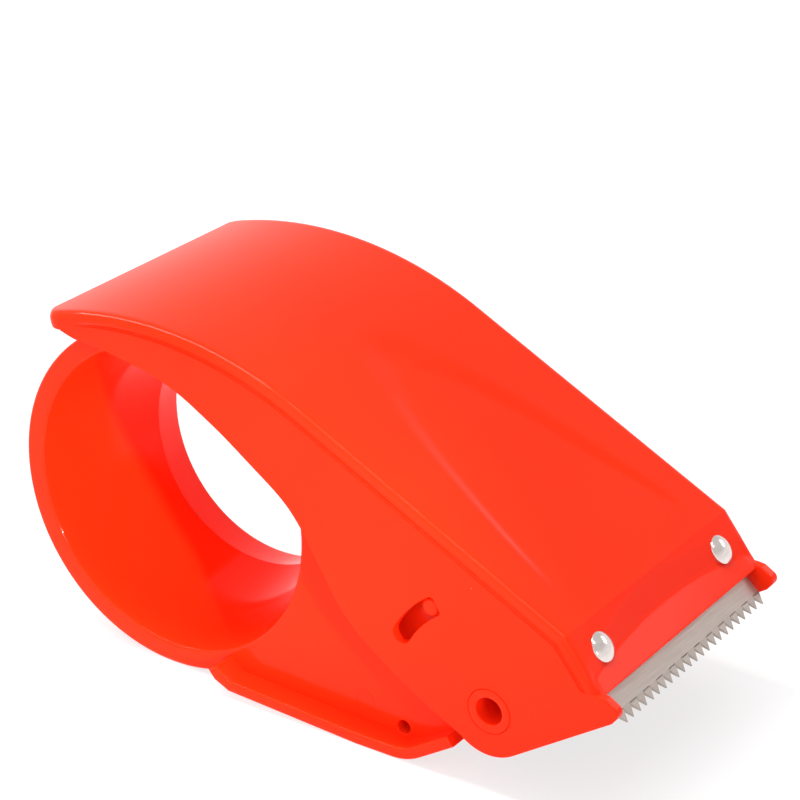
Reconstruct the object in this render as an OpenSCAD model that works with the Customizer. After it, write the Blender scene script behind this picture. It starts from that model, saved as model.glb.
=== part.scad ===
// Hand-held packing tape dispenser with a finger ring, a swinging handle cover,
// a serrated blade and a wipe-down roller. Millimetres, +Z up.
// The origin is on the ring's axis at mid-width, +X points to the blade
// and +Y to the open side where the roll of tape goes on.

/* [Handle cover] */
// Outer width of the cover
cover_w = 68; // [62:1:76]
// Thickness of the cover's side walls
wall = 2.4; // [1.8:0.1:3]
// Thickness of the cover's top sheet
sheet = 2.4; // [2:0.1:2.8]
// Depth of the rim along the open side
rim_d = 5; // [4:0.25:5.5]
// Radius of the arched top
top_r = 90; // [89.5:0.1:92]
// Slope of the straight front part of the top, in degrees
ramp_deg = 27; // [26:0.25:28]
// Where the top ends at the rear
rear_x = -28; // [-32:0.5:-26]
// Where the top breaks down into the front face
crease_x = 101.3; // [99:0.1:104]
// Rounding of that break
crease_r = 6; // [5.6:0.1:8]
// Slope of the front face, in degrees
face_deg = 52; // [48:0.5:54]
// Length of the front face from the break to the lip's edge
face_l = 13.2; // [12.6:0.1:14]
// Plan rounding of the rear corner on the near side
rear_near_r = 3.5; // [2:0.5:5]
// Plan rounding of the rear corner on the far side
rear_far_r = 1.5; // [1:0.5:5]

/* [Front lip] */
// Radius of the hollow across the front face
hollow_r = 340; // [300:10:360]
// How much steeper the hollow runs than the face, in degrees
hollow_deg = 7; // [5:0.5:8]
// Distance from the break to where the hollow starts
hollow_start = 1.5; // [0.5:0.25:2.5]
// How much shallower the lip runs than the face, in degrees
lip_deg = 12; // [9:0.5:15]
// Blunt width of the lip's edge
lip_edge = 0.2; // [0.1:0.05:0.4]
// How far the ears stand out past the lip
ear_reach = 4.4; // [3:0.2:5.5]

/* [Pivot] */
// Distance of the pivot ahead of the ring's axis
pivot_x = 84.7; // [83:0.1:87]
// Height of the pivot against the ring's axis
pivot_z = -20.8; // [-22:0.1:-20]
// Outer radius of the pivot tube
tube_r = 4.9; // [4:0.1:5.5]
// Bore radius of the pivot tube
tube_bore_r = 3.05; // [2:0.05:3.4]
// Depth of the tube's open bore
tube_bore_l = 40; // [20:1:44]
// Radius of the cover's rounded nose
nose_r = 10.2; // [9.5:0.1:11]
// Slope of the chin line from the nose up to the ears, in degrees
chin_deg = 34; // [32:0.5:36]

/* [Swing stop] */
// Radius of the slot's centre line round the pivot
slot_r = 23.75; // [22:0.25:25]
// Width of the slot
slot_w = 4.2; // [3.6:0.1:5]
// Angle of the slot's upper end, in degrees
slot_start = 122.5; // [120:0.5:125]
// How far the cover swings, in degrees
swing_deg = 24; // [18:1:26]
// Radius of the stop peg
peg_r = 1.9; // [1.4:0.05:2]
// How far the peg's end lies under the cover's outer face
peg_sunk = 0.8; // [0.4:0.1:1.4]

/* [Ring frame] */
// Outer radius of the ring's near rim
rim_r = 39.55; // [39:0.05:39.8]
// Width of the near rim, from its edge to the funnel's mouth
rim_w = 4.8; // [4.4:0.05:5.4]
// How much the funnel narrows from its mouth to its waist
funnel_in = 6.75; // [5:0.25:8]
// How much the ring widens again from the waist to the far opening
far_flare = 1.8; // [0.6:0.1:3]
// How far the drum that carries the roll's core lies inside the rim's edge
drum_step = 2.05; // [1.6:0.05:2.3]
// Thickness of the drum and the funnel
drum_wall = 1.9; // [1.5:0.1:2.2]
// Thickness of the frame's plate
plate_t = 2.6; // [2:0.1:3]
// How far the plate lies behind the cover's outer face
plate_inset = 5.5; // [5:0.1:6.5]
// Length from the plate's outer face to the waist
waist_l = 31.6; // [28:0.2:34]
// Length of the ring's end cap
cap_l = 9.3; // [7:0.1:11]
// Thickness of the end cap's flange
cap_t = 2.2; // [1.6:0.1:2.6]
// Thickness of the flange along the plate's lower edge
ledge_t = 2.6; // [2.2:0.1:3.4]
// Radius of the cored hole in the plate's lower corner
cored_r = 1.6; // [1.25:0.05:2]
// Depth of the cored hole
cored_l = 9; // [6:0.5:12]
// Radius of the round pad mark on the plate
mark_r = 2.4; // [1.5:0.1:2.8]

/* [Blade and rivets] */
// How far the blade's ends lie inside the cover's outer faces
blade_in = 4; // [3.2:0.1:6]
// Thickness of the blade
blade_t = 0.8; // [0.5:0.1:1]
// How far the blade stands out past the lip, teeth included
blade_reach = 7.8; // [6:0.2:9]
// Slope of the blade's free part, in degrees
blade_deg = 41; // [38:0.5:44]
// Number of teeth
teeth = 23; // [16:1:28]
// Depth of the teeth
tooth_d = 2.4; // [1.5:0.1:3]
// Distance of the rivets from the cover's outer faces
rivet_in = 9.35; // [8:0.05:12]
// Distance of the rivets from the break, down the front face
rivet_u = 6.1; // [5.5:0.1:6.6]
// Radius of the rivets' heads
rivet_head_r = 3.25; // [2.8:0.05:3.5]
// Height of the rivets' heads
rivet_head_h = 1.5; // [1:0.1:2]
// Radius of the rivets' shanks
rivet_r = 1.6; // [1.2:0.1:1.8]

/* [Roller] */
// Outer radius of the wipe-down roller
roller_r = 9.6; // [8.5:0.1:10]
// Thickness of the roller's tube
roller_wall = 1.6; // [1.2:0.1:2]
// Length of the hubs pressed into the roller's ends
hub_l = 8; // [6:0.5:12]
// Number of ribs along the roller
ribs = 14; // [10:1:18]
// Depth of the grooves between the ribs
rib_d = 0.5; // [0.3:0.1:0.6]

/* [Clearances] */
// Running clearance on the pivot, per side
run_gap = 0.05; // [0.02:0.01:0.09]
// Clearance of pieces that are fixed in each other, per side
seat_gap = 0.02; // [0.01:0.01:0.05]
// Side clearance between moving faces
side_gap = 0.3; // [0.2:0.05:0.5]

/* [Hidden] */
$fn = 96;
eps = 0.01;
orange = "#ff3c1e";
steel = "#c5b8b1";
chrome = "#eee3e1";
roller_grey = "#3a3a3c";

// Unit direction at an angle, a point moved along it, and an arc as points
function dir(deg) = [cos(deg), sin(deg)];
function arc(c, r, a0, a1, n) = [for (i = [0:n]) c + r * dir(a0 + (a1 - a0) * i / n)];

// Points of a smooth curve through the given points, n steps a span
function spline_at(p, i, t) =
    let (a = p[max(i - 1, 0)], b = p[i], c = p[i + 1], d = p[min(i + 2, len(p) - 1)])
    0.5 * (2 * b + (c - a) * t + (2 * a - 5 * b + 4 * c - d) * t * t
        + (3 * b - a - 3 * c + d) * t * t * t);
function spline(p, n) = concat(
    [for (i = [0:len(p) - 2]) for (j = [0:n - 1]) spline_at(p, i, j / n)], [p[len(p) - 1]]);

// Key lines across the width
half_w = cover_w / 2;
wall_in = half_w - wall;
hollow_half = wall_in - 0.1;
plate_y = -half_w + plate_inset;
plate_in = plate_y + plate_t;
waist_y = plate_y + waist_l;
cap_y = waist_y + cap_l;
drum_end = cap_y - cap_t;
blade_w = cover_w - 2 * blade_in;
rivet_gap = cover_w - 2 * rivet_in;

// Radii of the ring
mouth_r = rim_r - rim_w;
waist_r = mouth_r - funnel_in;
far_r = waist_r + far_flare;
drum_r = rim_r - drum_step;

// The top: an arch about top_c, the ramp, the break and the front face
rim_room = 0.75;
arch_rise = rim_r + rim_room + sheet;
arch_x = -2;
top_c = [arch_x, arch_rise - top_r];
ramp_top = top_c + top_r * dir(90 - ramp_deg);
ramp_dir = dir(-ramp_deg);
crease = ramp_top + ramp_dir * (crease_x - ramp_top.x) / ramp_dir.x;
bend_l = crease_r * tan((face_deg - ramp_deg) / 2);
bend_c = crease - bend_l * ramp_dir - crease_r * dir(90 - ramp_deg);
face_dir = dir(-face_deg);
face_out = dir(90 - face_deg);
lip = crease + face_l * face_dir;
rear_deg = acos((rear_x - arch_x) / top_r);

// A point on the front face: u down from the break, n out of the face
function on_face(u, n) = crease + u * face_dir + n * face_out;

pivot = [pivot_x, pivot_z];
chin_start = pivot + nose_r * dir(chin_deg - 90);
// The ears' tips: rounding, height under the lip and set-back of the chin line's end
ear_tip_r = 1;
ear_drop = 2.6;
chin_back = 1.3;
ear_tip = [lip.x + ear_reach - ear_tip_r, lip.y - ear_drop];
chin_end = chin_start + dir(chin_deg) * (lip.x + ear_reach - chin_back - chin_start.x) / cos(chin_deg);
// How far a rear corner's arc starts outside the cover, so that it crosses the edges
corner_in = 0.05;
// Far enough outside the part for a cutter's corner
out_x = 140;
out_z = 60;

// Lower edge of the near wall from the nose to the rear, and of the far wall from the rim to the nose
near_edge = [[71, -25], [60.5, -18.6], [50.5, -10.8], [43.5, -0.6], [38.8, 7], [34.2, 12.2], [26.5, 17.8],
    [16.5, 24.5], [4.5, 30.7], [-11.5, 34.2], [-18.8, 34.8], [-23.2, 36]];
far_edge = [[43, 25.2], [51.5, 17], [60, 3.5], [68, -10.5], [74, -22]];
nose_end = chin_deg - 90 - 76;

peg_angle = slot_start + asin(peg_r / slot_r) + asin(side_gap / slot_r);
peg_at = pivot + slot_r * dir(peg_angle);
slot_end = peg_angle + swing_deg + asin(side_gap / slot_r);

// The ledge under the plate: rear end, sloping run, flat foot, rounded corner and front run
foot_z = -rim_r;
foot = [[52, foot_z], [61, foot_z]];
corner_r = 13;
corner_c = foot[1] + [0, corner_r];
ledge_front_deg = 33;
ledge_front = corner_c + corner_r * dir(ledge_front_deg - 90);
ledge_end = ledge_front + 9.6 * dir(ledge_front_deg);
ledge_rear = [[13.6, foot_z + 5.35], [15.3, foot_z + 3.35], [19, foot_z + 1.65]];
// How far the ledge stops short of the plate's inner face, clear of a roll's core
ledge_back = 0.4;
neck_l = 66;

hub_wall = 3.2;
hub_r = tube_r + hub_wall;
cored_at = [60.7, foot_z + 4.25];
cored_boss_r = cored_at.y - foot_z - 0.05;
mark_at = [51, foot_z + 7.55];
mark_line = 0.25;
mark_depth = 0.15;

rivet_at = on_face(rivet_u, 0);
blade_n = -sheet - blade_t;
blade_u0 = 2.4;
blade_bend_u = face_l;
washer_t = 0.6;
washer_r = rivet_head_r - 0.2;
tail_h = 1.2;
tail_brim = 0.9;

// Room between the plate and the roller, and how far the grooves stop short of its ends
roller_room = 2.2;
groove_in = 1.5;
roller_y0 = plate_in + roller_room;
roller_y1 = wall_in - side_gap;
roller_in = roller_r - roller_wall;

washer_brim = 2.1;
pivot_washer_r = tube_r + washer_brim;
pivot_washer_t = 0.8;
tube_end = half_w - pivot_washer_t;
screw_r = 1.5;
screw_l = 14;
screw_head_r = 3.4;
screw_head_h = 1.7;

// A side outline in X and Z, given a thickness from y0 to y1
module slab(y0, y1) {
    translate([0, y1, 0])
        rotate([90, 0, 0])
            linear_extrude(y1 - y0) children();
}

// A round bar along Y through a point in X and Z
module bar(p, r, y0, y1) {
    translate([p.x, y0, p.y])
        rotate([-90, 0, 0])
            cylinder(r = r, h = y1 - y0);
}

// Something turned about the ring's axis, drawn as radius and y
module about_ring() {
    rotate([-90, 0, 0])
        rotate_extrude($fn = 180) children();
}

// Puts children on the front face at u, with +Z out of the face
module at_face(u, y) {
    p = on_face(u, 0);
    translate([p.x, y, p.y])
        rotate([0, face_deg, 0]) children();
}

// Outer side outline of the cover, from the rear along the top to the ears, the nose and the near wall's edge
function cover_outline() = concat(
    arc(top_c, top_r, rear_deg, 90 - ramp_deg, 40),
    arc(bend_c, crease_r, 90 - ramp_deg, 90 - face_deg, 6),
    [lip, lip + [ear_reach / 2, -0.2]],
    arc(ear_tip, ear_tip_r, 60, -50, 5),
    [chin_end],
    arc(pivot, nose_r, chin_deg - 90, nose_end, 18),
    spline(near_edge, 4),
    [top_c + (top_r - sheet) * dir(rear_deg)]);

// The room between the walls, under the top sheet and the front face
function room_outline() = concat(
    arc(top_c, top_r - sheet, rear_deg + 4, 90 - ramp_deg, 40),
    [crease - sheet / cos((face_deg - ramp_deg) / 2) * dir(90 - (face_deg + ramp_deg) / 2),
        on_face(face_l, -sheet), on_face(face_l, 9), [out_x, lip.y], [out_x, -out_z], [-out_x, -out_z]]);

// What the far side leaves open under its rim, so that a roll can go on
function loading_outline() = concat(
    arc(top_c, top_r - rim_d, rear_deg + 4, 90 - ramp_deg, 40),
    spline(far_edge, 4),
    [pivot + nose_r * dir(nose_end), [pivot.x - nose_r, -out_z], [-out_x, -out_z]]);

// Cutter that rounds a rear corner in plan
module rear_corner(r) {
    c = [rear_x, -half_w] + (r - corner_in) * [1, 1];
    translate([0, 0, out_z / 2])
        linear_extrude(out_z / 2)
            polygon(concat(arc(c, r, 180, 270, 8), [c - [0, 2 * r], c - [2 * r, 2 * r], c - [2 * r, 0]]));
}

module handle_cover() {
    color(orange)
    difference() {
        slab(-half_w, half_w) polygon(cover_outline());
        slab(-wall_in, wall_in) polygon(room_outline());
        slab(wall_in - 1, half_w + 1) polygon(loading_outline());
        rear_corner(rear_near_r);
        mirror([0, 1, 0]) rear_corner(rear_far_r);
        // Hollow across the front face, down to the lip's plane
        intersection() {
            at_face(hollow_start, 0)
                rotate([0, hollow_deg, 0])
                    translate([-20, 0, hollow_r])
                        rotate([0, 90, 0]) cylinder(r = hollow_r, h = 60, $fn = 720);
            at_face(face_l + lip_edge, 0)
                rotate([0, -lip_deg, 0])
                    translate([-30, -hollow_half, 0]) cube([32, 2 * hollow_half, 20]);
        }
        bar(pivot, tube_r + run_gap, -half_w - 1, half_w + 1);
        bar(pivot, pivot_washer_r + side_gap, tube_end - eps, half_w + 1);
        slot_cut();
        for (s = [-1, 1])
            at_face(rivet_u, s * rivet_gap / 2)
                translate([0, 0, -sheet - 2]) cylinder(r = rivet_r + seat_gap, h = sheet + 6);
    }
}

// The slot that the stop peg runs in: square upper end, round lower end
module slot_cut() {
    lower = slot_end + asin(peg_r / slot_r);
    round_at = lower - asin(slot_w / 2 / slot_r);
    slab(-half_w - 1, -wall_in + 1)
        polygon(concat(
            arc(pivot, slot_r + slot_w / 2, slot_start, round_at, 12),
            arc(pivot + slot_r * dir(round_at), slot_w / 2, round_at + 15, round_at + 165, 10),
            arc(pivot, slot_r - slot_w / 2, round_at, slot_start, 12)));
}

// The frame's plate: neck to the pivot and lower edge, which ends inside the ledge
function plate_outline() = concat(
    [rim_r * dir(90 - ramp_deg), rim_r * dir(90 - ramp_deg) + neck_l * ramp_dir],
    arc(pivot, hub_r - 0.5, 40, -120, 10),
    [ledge_end + ledge_t / 2 * dir(ledge_front_deg + 90)],
    arc(corner_c, corner_r - ledge_t / 2, ledge_front_deg - 90, -90, 8),
    [foot[0] + [0, ledge_t / 2], ledge_rear[2] + [0.2, ledge_t / 2], ledge_rear[0] + [1.2, 0.8], [0, 0]]);

// The ledge follows the plate's lower edge and stands out to the cover's face
function ledge_outline() = concat(
    ledge_rear, foot,
    arc(corner_c, corner_r, -90, ledge_front_deg - 90, 8),
    [ledge_end, ledge_end + ledge_t * dir(ledge_front_deg + 90)],
    arc(corner_c, corner_r - ledge_t, ledge_front_deg - 90, -90, 8),
    [foot[0] + [0, ledge_t], ledge_rear[2] + [0.2, ledge_t], ledge_rear[0] + [2.4, 1.6]]);

// Radius of the finger funnel at a place along its axis
function funnel_r(y) = mouth_r - (mouth_r - waist_r) * (y - plate_y) / waist_l;

module ring_frame() {
    gap_y = plate_in + 3;
    mid_y = plate_y + plate_t / 2;
    drum_in = drum_r - drum_wall;
    color(orange)
    difference() {
        union() {
            slab(plate_y, plate_in) {
                polygon(plate_outline());
                circle(rim_r, $fn = 180);
            }
            about_ring() translate([0, mid_y]) square([drum_r, drum_end - mid_y]);
            slab(-half_w, plate_in - ledge_back) polygon(ledge_outline());
            bar(pivot, hub_r, -wall_in + side_gap, roller_y0 - side_gap);
            bar(cored_at, cored_boss_r, mid_y, plate_y + cored_l + 2);
            bar(peg_at, peg_r, -half_w + peg_sunk, mid_y);
        }
        // Finger funnel, and the space between it and the drum, open to the far side
        about_ring() polygon([[0, plate_y - 1], [funnel_r(plate_y - 1), plate_y - 1],
            [waist_r, waist_y], [0, waist_y]]);
        about_ring() polygon([[0, waist_y], [waist_r + drum_wall, waist_y],
            [funnel_r(gap_y) + drum_wall, gap_y], [drum_in, gap_y], [drum_in, drum_end + 1], [0, drum_end + 1]]);
        bar(pivot, tube_r + seat_gap, -half_w, half_w);
        bar(cored_at, cored_r, plate_y - 1, plate_y + cored_l);
        // Faint round mark in the plate
        difference() {
            bar(mark_at, mark_r, plate_y - 1, plate_y + mark_depth);
            bar(mark_at, mark_r - mark_line, plate_y - 2, plate_y + 1);
        }
    }
}

// End cap of the ring: covers the drum's end and carries the opening on from the waist
module ring_end_cap() {
    plug_r = drum_r - drum_wall - seat_gap;
    color(orange)
    about_ring() polygon([[waist_r, waist_y], [waist_r + drum_wall, waist_y],
        [far_r + drum_wall - 0.4, drum_end - 3], [plug_r - 1.4, drum_end - 3], [plug_r, drum_end - 2.4],
        [plug_r, drum_end], [drum_r, drum_end], [drum_r, cap_y], [far_r, cap_y]]);
}

module pivot_tube() {
    color(orange)
    difference() {
        bar(pivot, tube_r, -half_w, tube_end);
        bar(pivot, tube_bore_r, -half_w - 1, -half_w + tube_bore_l);
        bar(pivot, screw_r, tube_end - screw_l - 2, half_w + 1);
    }
}

module pivot_washer() {
    color(steel)
    difference() {
        bar(pivot, pivot_washer_r, tube_end, half_w);
        bar(pivot, screw_r + run_gap, tube_end - 1, half_w + 1);
    }
}

module pivot_screw() {
    slot_l = 2 * screw_head_r - 2;
    color(steel)
    difference() {
        union() {
            bar(pivot, screw_r - seat_gap, tube_end - screw_l, half_w + eps);
            bar(pivot, screw_head_r, half_w, half_w + screw_head_h);
        }
        for (a = [0, 90])
            translate([pivot.x, half_w + screw_head_h, pivot.y])
                rotate([0, a, 0]) cube([slot_l, 2, 0.9], center = true);
    }
}

// Blade: a strip under the front face that bends out under the lip and ends in teeth
module blade() {
    pitch = blade_w / teeth;
    bend_p = on_face(blade_bend_u, -sheet);
    color(steel)
    difference() {
        union() {
            at_face(blade_u0, 0)
                translate([0, -blade_w / 2, blade_n])
                    cube([blade_bend_u - blade_u0 + 0.1, blade_w, blade_t]);
            translate([bend_p.x, 0, bend_p.y])
                rotate([0, blade_deg, 0])
                    translate([0, 0, -blade_t])
                        linear_extrude(blade_t)
                            polygon(concat([[0, -blade_w / 2]],
                                [for (i = [0:teeth - 1]) for (q = [[0, i], [1, i + 0.5]])
                                    [blade_reach - tooth_d * (1 - q.x), -blade_w / 2 + pitch * q.y]],
                                [[blade_reach - tooth_d, blade_w / 2], [0, blade_w / 2]]));
        }
        for (s = [-1, 1])
            at_face(rivet_u, s * rivet_gap / 2)
                translate([0, 0, blade_n - 1]) cylinder(r = rivet_r + seat_gap, h = blade_t + 2);
    }
}

// Dome-headed rivet with its turned-over tail
module rivet(side) {
    dome_r = (rivet_head_r * rivet_head_r + rivet_head_h * rivet_head_h) / (2 * rivet_head_h);
    color(chrome)
    at_face(rivet_u, side * rivet_gap / 2) {
        intersection() {
            translate([0, 0, rivet_head_h - dome_r]) rotate([90, 0, 0]) sphere(dome_r);
            cylinder(r = rivet_head_r + 1, h = rivet_head_h + 1);
        }
        translate([0, 0, blade_n - washer_t]) cylinder(r = rivet_r, h = sheet + blade_t + washer_t + eps);
        translate([0, 0, blade_n - washer_t - tail_h]) cylinder(r = rivet_r + tail_brim, h = tail_h);
    }
}

module rivet_near() {
    rivet(-1);
}

module rivet_far() {
    rivet(1);
}

module rivet_washer(side) {
    color(steel)
    at_face(rivet_u, side * rivet_gap / 2)
        translate([0, 0, blade_n - washer_t])
            difference() {
                cylinder(r = washer_r, h = washer_t);
                translate([0, 0, -1]) cylinder(r = rivet_r + seat_gap, h = washer_t + 2);
            }
}

module rivet_washer_near() {
    rivet_washer(-1);
}

module rivet_washer_far() {
    rivet_washer(1);
}

// Roller tube with grooves along it
module roller_tube() {
    color(roller_grey)
    difference() {
        bar(pivot, roller_r, roller_y0, roller_y1);
        bar(pivot, roller_in, roller_y0 - 1, roller_y1 + 1);
        for (i = [0:ribs - 1])
            bar(pivot + roller_r * dir(360 * (i + 0.5) / ribs), rib_d, roller_y0 + groove_in, roller_y1 - groove_in);
    }
}

module roller_hub(y0) {
    color(orange)
    difference() {
        bar(pivot, roller_in - seat_gap, y0, y0 + hub_l);
        bar(pivot, tube_r + run_gap, y0 - 1, y0 + hub_l + 1);
    }
}

module roller_hub_near() {
    roller_hub(roller_y0);
}

module roller_hub_far() {
    roller_hub(roller_y1 - hub_l);
}

ring_frame();
ring_end_cap();
pivot_tube();
pivot_washer();
pivot_screw();
handle_cover();
blade();
rivet_near();
rivet_far();
rivet_washer_near();
rivet_washer_far();
roller_tube();
roller_hub_near();
roller_hub_far();
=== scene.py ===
import math

import bmesh
import bpy
from mathutils import Matrix, Vector


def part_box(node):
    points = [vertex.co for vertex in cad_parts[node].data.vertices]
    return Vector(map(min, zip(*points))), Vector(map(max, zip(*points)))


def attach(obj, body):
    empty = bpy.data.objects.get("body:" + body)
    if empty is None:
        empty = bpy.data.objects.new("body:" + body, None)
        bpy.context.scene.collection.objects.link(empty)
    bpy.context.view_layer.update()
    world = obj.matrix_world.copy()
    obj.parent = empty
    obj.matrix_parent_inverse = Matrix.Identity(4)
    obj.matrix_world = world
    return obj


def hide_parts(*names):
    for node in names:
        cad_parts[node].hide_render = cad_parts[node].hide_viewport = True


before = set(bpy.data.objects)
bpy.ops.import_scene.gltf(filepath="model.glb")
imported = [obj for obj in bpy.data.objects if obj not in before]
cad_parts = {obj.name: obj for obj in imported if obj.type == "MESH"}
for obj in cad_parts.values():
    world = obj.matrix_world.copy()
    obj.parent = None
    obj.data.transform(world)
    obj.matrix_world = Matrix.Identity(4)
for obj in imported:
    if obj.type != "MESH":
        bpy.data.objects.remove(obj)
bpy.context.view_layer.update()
scene = bpy.context.scene
mm = 0.001
print("frame loaded with", len(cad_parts), "nodes")


def towards(deg):
    return Vector((math.cos(math.radians(deg)), math.sin(math.radians(deg))))


# lines shared by the cover, blade and frame, in millimetres, as X and Z
topCentre = Vector((-2, -47.3))
topRadius = 90
rampDeg = 27
faceDeg = 52
faceLength = 13.2
sheetThick = 2.4
creaseX = 101.3
pivot = Vector((84.7, -20.8))
rampStart = topCentre + topRadius * towards(90 - rampDeg)
crease = Vector((creaseX, rampStart.y - (creaseX - rampStart.x) * math.tan(math.radians(rampDeg))))


def linearColour(hexText):
    parts = [int(hexText[i:i + 2], 16) / 255 for i in (1, 3, 5)]
    return [p / 12.92 if p <= 0.04045 else ((p + 0.055) / 1.055) ** 2.4 for p in parts] + [1.0]


def addNode(tree, kind, settings=None, inputs=None):
    node = tree.nodes.new(kind)
    for name, value in (settings or {}).items():
        setattr(node, name, value)
    for socket, value in (inputs or {}).items():
        if isinstance(value, bpy.types.NodeSocket):
            tree.links.new(value, node.inputs[socket])
        else:
            node.inputs[socket].default_value = value
    return node


def newMaterial(name):
    material = bpy.data.materials.new(name)
    material.use_nodes = True
    tree = material.node_tree
    tree.nodes.clear()
    shader = addNode(tree, "ShaderNodeBsdfPrincipled")
    addNode(tree, "ShaderNodeOutputMaterial", inputs={"Surface": shader.outputs["BSDF"]})
    coords = addNode(tree, "ShaderNodeTexCoord").outputs["Object"]
    return material, tree, shader, coords


# ABS moulded in a polished tool: saturated pigment, high gloss, faint orange peel, a few dust grains
absLook = {"pigment": "#ff2f0d", "deepPigment": "#fd290a", "cloudMm": 30,
           "dust": "#ffd9cf", "dustMm": 8, "dustRadiusMm": 0.128, "dustShare": 0.3, "dustCover": 0.35,
           "peelMm": 3, "peelBump": 0.12, "peelDepthMm": 0.02,
           "grainMm": 0.5, "roughness": (0.1, 0.16), "ior": 1.54, "specular": 0.09}


def mouldedAbs():
    look = absLook
    material, tree, shader, coords = newMaterial("abs_moulded_orange_red")
    cloud = addNode(tree, "ShaderNodeTexNoise",
                    inputs={"Vector": coords, "Scale": 1000 / look["cloudMm"], "Detail": 3})
    tint = addNode(tree, "ShaderNodeMix", {"data_type": "RGBA"},
                   {0: cloud.outputs["Fac"], 6: linearColour(look["pigment"]),
                    7: linearColour(look["deepPigment"])})
    # dust grains about 0.25 mm wide, in three of ten cells of 8 mm
    cells = addNode(tree, "ShaderNodeTexVoronoi", inputs={"Vector": coords, "Scale": 1000 / look["dustMm"]})
    near = addNode(tree, "ShaderNodeMath", {"operation": "LESS_THAN"},
                   {0: cells.outputs["Distance"], 1: look["dustRadiusMm"] / look["dustMm"]})
    split = addNode(tree, "ShaderNodeSeparateColor", inputs={0: cells.outputs["Color"]})
    rare = addNode(tree, "ShaderNodeMath", {"operation": "LESS_THAN"},
                   {0: split.outputs[0], 1: look["dustShare"]})
    speck = addNode(tree, "ShaderNodeMath", {"operation": "MULTIPLY"},
                    {0: near.outputs[0], 1: rare.outputs[0]})
    soft = addNode(tree, "ShaderNodeMath", {"operation": "MULTIPLY"},
                   {0: speck.outputs[0], 1: look["dustCover"]})
    dusty = addNode(tree, "ShaderNodeMix", {"data_type": "RGBA"},
                    {0: soft.outputs[0], 6: tint.outputs[2], 7: linearColour(look["dust"])})
    grain = addNode(tree, "ShaderNodeTexNoise",
                    inputs={"Vector": coords, "Scale": 1000 / look["grainMm"], "Detail": 2})
    low, high = look["roughness"]
    rough = addNode(tree, "ShaderNodeMapRange",
                    inputs={"Value": grain.outputs["Fac"], "To Min": low, "To Max": high})
    peel = addNode(tree, "ShaderNodeTexNoise",
                   inputs={"Vector": coords, "Scale": 1000 / look["peelMm"], "Detail": 1})
    bump = addNode(tree, "ShaderNodeBump",
                   inputs={"Strength": look["peelBump"], "Distance": look["peelDepthMm"] * mm,
                           "Height": peel.outputs["Fac"]})
    tree.links.new(dusty.outputs[2], shader.inputs["Base Color"])
    tree.links.new(rough.outputs[0], shader.inputs["Roughness"])
    tree.links.new(bump.outputs[0], shader.inputs["Normal"])
    shader.inputs["IOR"].default_value = look["ior"]
    shader.inputs["Specular IOR Level"].default_value = look["specular"]
    return material


# cold-rolled strip steel: satin warm grey with fine rolling lines along the strip
stripLook = {"steel": "#b2a7a0", "shade": "#a59a93", "lineMm": 0.35, "lineStretch": 0.04,
             "lineBump": 0.15, "lineDepthMm": 0.02, "roughness": (0.42, 0.55)}


def rolledStrip():
    look = stripLook
    material, tree, shader, coords = newMaterial("steel_strip_cold_rolled")
    along = addNode(tree, "ShaderNodeMapping",
                    inputs={"Vector": coords, "Scale": (1, look["lineStretch"], 1)})
    lines = addNode(tree, "ShaderNodeTexNoise",
                    inputs={"Vector": along.outputs[0], "Scale": 1000 / look["lineMm"], "Detail": 3})
    tint = addNode(tree, "ShaderNodeMix", {"data_type": "RGBA"},
                   {0: lines.outputs["Fac"], 6: linearColour(look["steel"]), 7: linearColour(look["shade"])})
    low, high = look["roughness"]
    rough = addNode(tree, "ShaderNodeMapRange",
                    inputs={"Value": lines.outputs["Fac"], "To Min": low, "To Max": high})
    bump = addNode(tree, "ShaderNodeBump",
                   inputs={"Strength": look["lineBump"], "Distance": look["lineDepthMm"] * mm,
                           "Height": lines.outputs["Fac"]})
    tree.links.new(tint.outputs[2], shader.inputs["Base Color"])
    tree.links.new(rough.outputs[0], shader.inputs["Roughness"])
    tree.links.new(bump.outputs[0], shader.inputs["Normal"])
    shader.inputs["Metallic"].default_value = 1
    return material


# bright nickel on steel: mirror polish with hairline scuffs
nickelLook = {"nickel": "#f0e6e2", "scuffed": "#d9cec9", "scuffMm": 1.2, "roughness": (0.1, 0.2)}


def brightNickel():
    look = nickelLook
    material, tree, shader, coords = newMaterial("nickel_plated_steel")
    scuff = addNode(tree, "ShaderNodeTexNoise",
                    inputs={"Vector": coords, "Scale": 1000 / look["scuffMm"], "Detail": 4})
    tint = addNode(tree, "ShaderNodeMix", {"data_type": "RGBA"},
                   {0: scuff.outputs["Fac"], 6: linearColour(look["nickel"]),
                    7: linearColour(look["scuffed"])})
    low, high = look["roughness"]
    rough = addNode(tree, "ShaderNodeMapRange",
                    inputs={"Value": scuff.outputs["Fac"], "To Min": low, "To Max": high})
    tree.links.new(tint.outputs[2], shader.inputs["Base Color"])
    tree.links.new(rough.outputs[0], shader.inputs["Roughness"])
    shader.inputs["Metallic"].default_value = 1
    return material


# moulded rubber on the roller: matt dark grey with a slightly dusty grain
rubberLook = {"rubber": "#2b2b2d", "worn": "#3c3b3c", "grainMm": 0.8, "grainBump": 0.3, "grainDepthMm": 0.05,
              "roughness": (0.55, 0.75)}


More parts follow.
